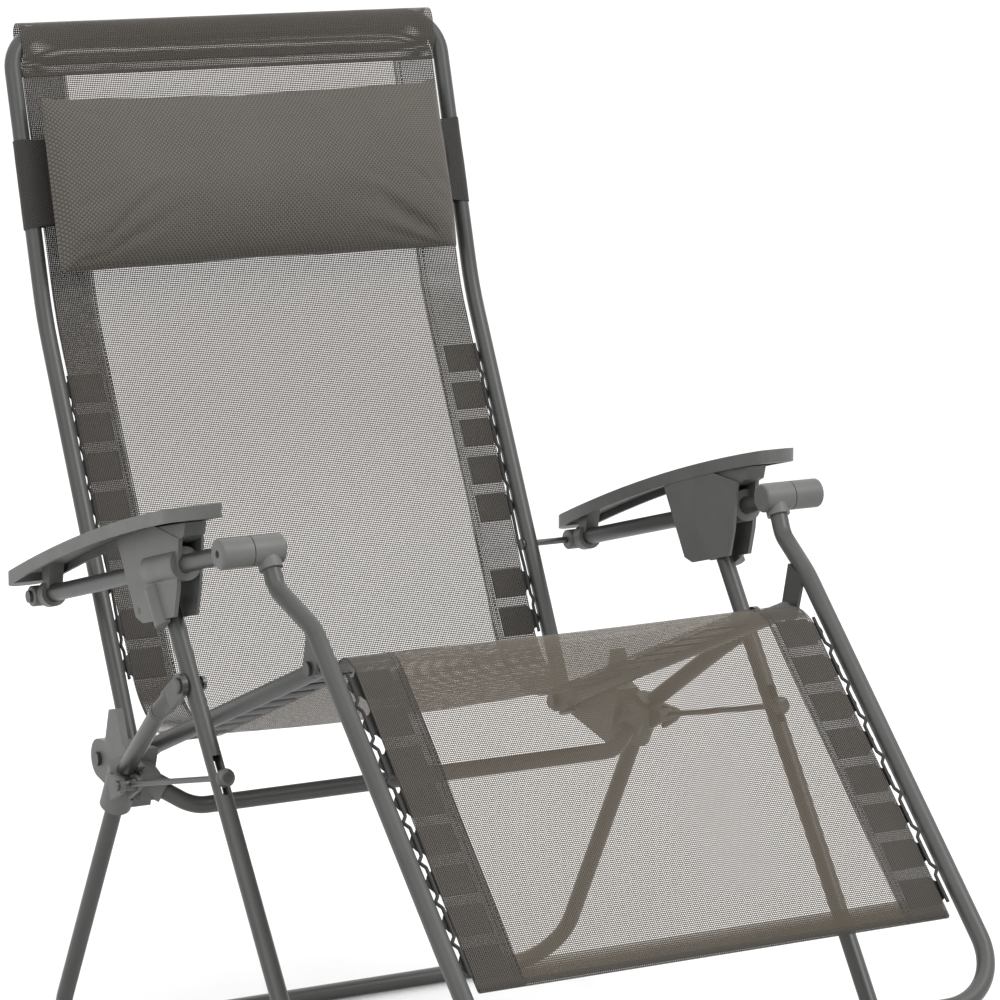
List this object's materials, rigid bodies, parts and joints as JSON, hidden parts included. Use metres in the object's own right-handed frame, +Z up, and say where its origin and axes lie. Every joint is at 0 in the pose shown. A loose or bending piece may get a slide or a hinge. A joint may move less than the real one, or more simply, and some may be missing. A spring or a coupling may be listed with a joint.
{
  "type": "zero gravity recliner",
  "caption": "Folding tubular zero gravity recliner: laced mesh sling, padded head pillow, sliding armrests, crossed front and rear legs.",
  "frame": {"origin": "bottom centre of the bounding box, on the floor", "axes": "+Z up, +X towards the sitter's left hand, the sitter faces -Y"},
  "size_m": [0.721, 1.141, 1.0855],
  "materials": {
    "painted_tube": "satin",
    "grey_plastic": "matte",
    "black_plastic": "matte",
    "elastic_cord": "matte",
    "zinc_steel": "satin",
    "mesh_fabric": "woven",
    "pillow_fabric": "woven"
  },
  "bodies": {
    "front_legs": {"front_leg_frame": "painted_tube", "front_leg_caps": "grey_plastic", "leg_cross_rivets": "zinc_steel"},
    "rear_legs": {"rear_leg_frame": "painted_tube", "junction_clamp_left": "grey_plastic", "junction_clamp_right": "grey_plastic", "rear_crossbar": "painted_tube", "strut_pivot_pins": "zinc_steel"},
    "strut_rods": {"strut_rods": "zinc_steel"},
    "seat_frame": {"seat_rail_left": "painted_tube", "seat_rail_right": "painted_tube", "seat_rail_plugs": "grey_plastic", "seat_sling": "mesh_fabric", "seat_clips_left": "black_plastic", "seat_clips_right": "black_plastic", "seat_lacing_left": "elastic_cord", "seat_lacing_right": "elastic_cord"},
    "back_pivots": {"back_pivot_bolts": "zinc_steel"},
    "back_frame": {"back_frame_tube": "painted_tube", "back_tube_plugs": "grey_plastic", "back_sling": "mesh_fabric", "top_sleeve": "mesh_fabric", "back_clips_left": "black_plastic", "back_clips_right": "black_plastic", "back_lacing_left": "elastic_cord", "back_lacing_right": "elastic_cord", "head_pillow": "pillow_fabric", "pillow_straps": "mesh_fabric"},
    "arm_pivots": {"arm_pivot_bolts": "zinc_steel"},
    "arm_tubes": {"arm_tube_left": "painted_tube", "arm_tube_right": "painted_tube", "front_knuckle_outer_left": "grey_plastic", "front_knuckle_outer_right": "grey_plastic", "rear_arm_knuckle_left": "grey_plastic", "rear_arm_knuckle_right": "grey_plastic"},
    "arm_carriers": {"armrest_pad_left": "grey_plastic", "armrest_pad_right": "grey_plastic", "arm_bracket_left": "grey_plastic", "arm_bracket_right": "grey_plastic", "arm_hanger_ring_left": "grey_plastic", "arm_hanger_ring_right": "grey_plastic", "bracket_screws": "zinc_steel"},
    "knee_pivots": {"knee_rivets": "zinc_steel"},
    "foot_frame": {"foot_frame_tube": "painted_tube", "foot_brackets": "painted_tube", "front_knuckle_inner_left": "grey_plastic", "front_knuckle_inner_right": "grey_plastic", "leg_sling": "mesh_fabric", "leg_clips_left": "black_plastic", "leg_clips_right": "black_plastic", "leg_lacing_left": "elastic_cord", "leg_lacing_right": "elastic_cord"}
  },
  "joints": [
    {"name": "fold", "type": "hinge", "parent": "front_legs", "child": "rear_legs", "pos_m": [0, -0.0167, 0.474], "axis": [-1, 0, 0], "range_deg": [0, 50]},
    {"name": "strut_swing", "type": "hinge", "parent": "rear_legs", "child": "strut_rods", "pos_m": [0, 0.14, 0.338], "axis": [1, 0, 0], "range_deg": [0, 1.13]},
    {"name": "seat_tilt", "type": "hinge", "parent": "rear_legs", "child": "seat_frame", "pos_m": [0, 0.26, 0.337], "axis": [-1, 0, 0], "range_deg": [0, 6.48]},
    {"name": "back_fold", "type": "hinge", "parent": "seat_frame", "child": "back_pivots", "pos_m": [0, 0.26, 0.337], "axis": [1, 0, 0], "range_deg": [0, 23.6]},
    {"name": "recline", "type": "hinge", "parent": "back_pivots", "child": "back_frame", "pos_m": [0, 0.26, 0.337], "axis": [-1, 0, 0], "range_deg": [0, 22]},
    {"name": "arm_fold", "type": "hinge", "parent": "back_frame", "child": "arm_pivots", "pos_m": [0, 0.3398, 0.5], "axis": [-1, 0, 0], "range_deg": [0, 23.22]},
    {"name": "arm_tilt", "type": "hinge", "parent": "arm_pivots", "child": "arm_tubes", "pos_m": [0, 0.3398, 0.5], "axis": [1, 0, 0], "range_deg": [0, 23.24]},
    {"name": "carrier_slide", "type": "slide", "parent": "arm_tubes", "child": "arm_carriers", "axis": [0, -0.9656, 0.2598], "range_m": [0, 0.0813]},
    {"name": "knee_fold", "type": "hinge", "parent": "seat_frame", "child": "knee_pivots", "pos_m": [0, -0.179, 0.516], "axis": [1, 0, 0], "range_deg": [0, 35.02]},
    {"name": "knee_bend", "type": "hinge", "parent": "knee_pivots", "child": "foot_frame", "pos_m": [0, -0.179, 0.516], "axis": [-1, 0, 0], "range_deg": [0, 34.6]}
  ],
  "couplings": [
    {"joint": "strut_swing", "follows": "fold", "ratio": 0.0205},
    {"joint": "seat_tilt", "follows": "recline", "ratio": 0.2899},
    {"joint": "back_fold", "follows": "fold", "ratio": 0.4699},
    {"joint": "arm_fold", "follows": "fold", "ratio": 0.4623},
    {"joint": "arm_tilt", "follows": "recline", "ratio": 1.052},
    {"joint": "carrier_slide", "follows": "recline", "m_per_rad": 0.2091},
    {"joint": "knee_fold", "follows": "fold", "ratio": 0.6985},
    {"joint": "knee_bend", "follows": "recline", "ratio": 1.5682}
  ]
}
